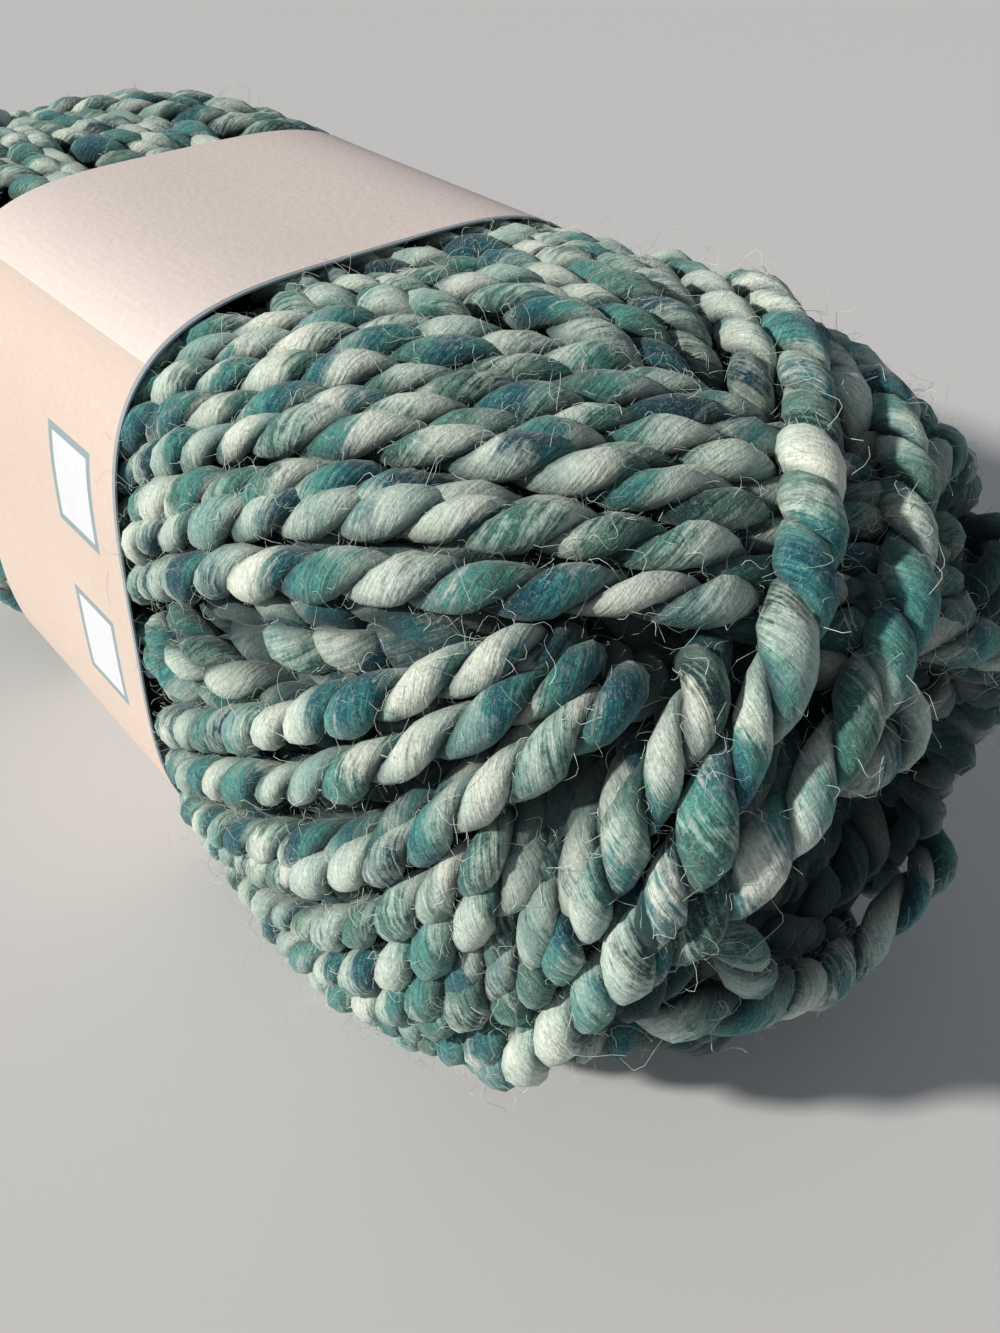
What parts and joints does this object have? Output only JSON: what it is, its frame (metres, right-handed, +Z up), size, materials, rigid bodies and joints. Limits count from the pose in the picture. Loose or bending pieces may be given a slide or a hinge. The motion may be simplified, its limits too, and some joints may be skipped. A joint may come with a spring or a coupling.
{
  "type": "skein of yarn",
  "caption": "Centre-pull skein of bulky two-ply yarn lying on its side, wound in crossing lays round a hollow core, with a plain paper band round its waist.",
  "frame": {"origin": "on the ground, under the middle of the skein's bounding box", "axes": "+X along the skein to its front end, the one with the more open hollow; -Y to the near side; +Z up"},
  "size_m": [0.2584, 0.1109, 0.1045],
  "materials": {
    "yarn": "soft fuzzy bulky two-ply wool blend, variegated pale celadon, sage and deep teal",
    "paper": "smooth matt printed paper, off-white and cream"
  },
  "bodies": {
    "root": {"yarn_skein": "yarn", "paper_band": "paper"}
  },
  "joints": []
}
